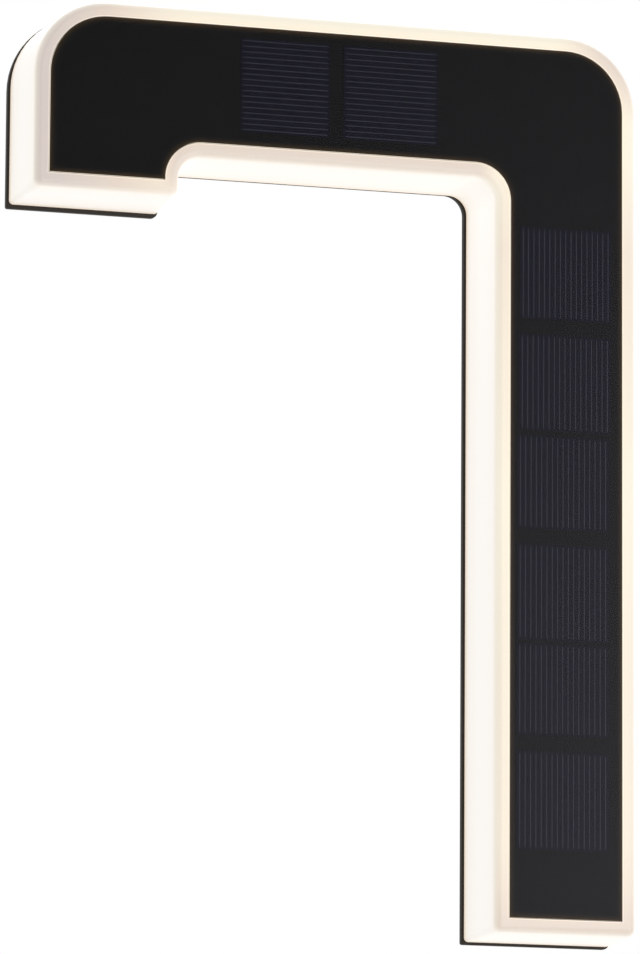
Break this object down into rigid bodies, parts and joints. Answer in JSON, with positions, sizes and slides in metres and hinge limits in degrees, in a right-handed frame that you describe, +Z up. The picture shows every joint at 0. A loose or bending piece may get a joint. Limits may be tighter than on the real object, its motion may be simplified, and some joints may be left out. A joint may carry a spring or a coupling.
{
  "type": "illuminated house number sign",
  "caption": "Solar house number in the shape of a 7 that hangs on a wall: black solar panel face, glowing opal sides, back plate with keyholes and a battery cover.",
  "frame": {"origin": "on the wall face, midway between the round entries of the two keyholes", "axes": "+Z up, the figure faces -Y, +X to the viewer's right, the wall touches the back at y = 0"},
  "size_m": [0.1701, 0.0258, 0.2451],
  "materials": {
    "plate_plastic": "black moulded plastic with a fine spark texture",
    "opal_plastic": "opal moulded plastic, satin, lit from inside",
    "panel_film": "clear matte film",
    "board_black": "black laminate",
    "silicon": "dark blue coated silicon",
    "silver_print": "printed silver",
    "tape_foam": "grey acrylic foam tape",
    "silicone": "grey silicone",
    "screw_steel": "zinc plated steel",
    "board_white": "white solder mask",
    "led_package": "white package with yellow phosphor",
    "board_green": "green solder mask",
    "chip_black": "black moulded epoxy",
    "ferrite": "grey ferrite",
    "capacitor_can": "bare aluminium",
    "socket_white": "white nylon",
    "battery_wrap": "blue shrink wrap over a metal can",
    "contact_metal": "nickel plated spring steel",
    "switch_black": "black nylon",
    "knob_plastic": "white acetal",
    "lead_red": "red silicone insulation",
    "lead_black": "black silicone insulation"
  },
  "bodies": {
    "sign": {"wall_plate": "plate_plastic", "diffuser_shell": "opal_plastic", "housing_gasket": "silicone", "housing_screws": "screw_steel", "panel_tape": "tape_foam", "solar_board": "board_black", "solar_cell_1": "silicon", "solar_cell_2": "silicon", "solar_cell_3": "silicon", "solar_cell_4": "silicon", "solar_cell_5": "silicon", "solar_cell_6": "silicon", "solar_cell_7": "silicon", "solar_cell_8": "silicon", "cell_fingers": "silver_print", "panel_film": "panel_film", "lead_seal": "silicone", "led_board_upper": "board_white", "led_board_lower": "board_white", "led_board_upright": "board_white", "leds": "led_package", "board_screws": "screw_steel", "control_board": "board_green", "charge_chip": "chip_black", "inductor": "ferrite", "capacitors": "capacitor_can", "lead_sockets": "socket_white", "battery_cell": "battery_wrap", "battery_plus_contact": "contact_metal", "battery_minus_contact": "contact_metal", "battery_cover_gasket": "silicone", "switch_body": "switch_black", "switch_pins": "contact_metal", "battery_lead_plus": "lead_red", "battery_lead_minus": "lead_black", "panel_lead_plus": "lead_red", "panel_lead_minus": "lead_black", "led_leads_plus": "lead_red", "led_leads_minus": "lead_black"},
    "switch": {"switch_knob": "knob_plastic"},
    "battery_cover": {"battery_cover": "plate_plastic", "battery_cover_screws": "screw_steel"}
  },
  "joints": [
    {"name": "switch_slide", "type": "slide", "parent": "sign", "child": "switch", "axis": [1, 0, 0], "range_m": [0, 0.003]},
    {"name": "battery_cover_lift", "type": "slide", "parent": "sign", "child": "battery_cover", "axis": [0, 1, 0], "range_m": [0, 0.02]}
  ]
}
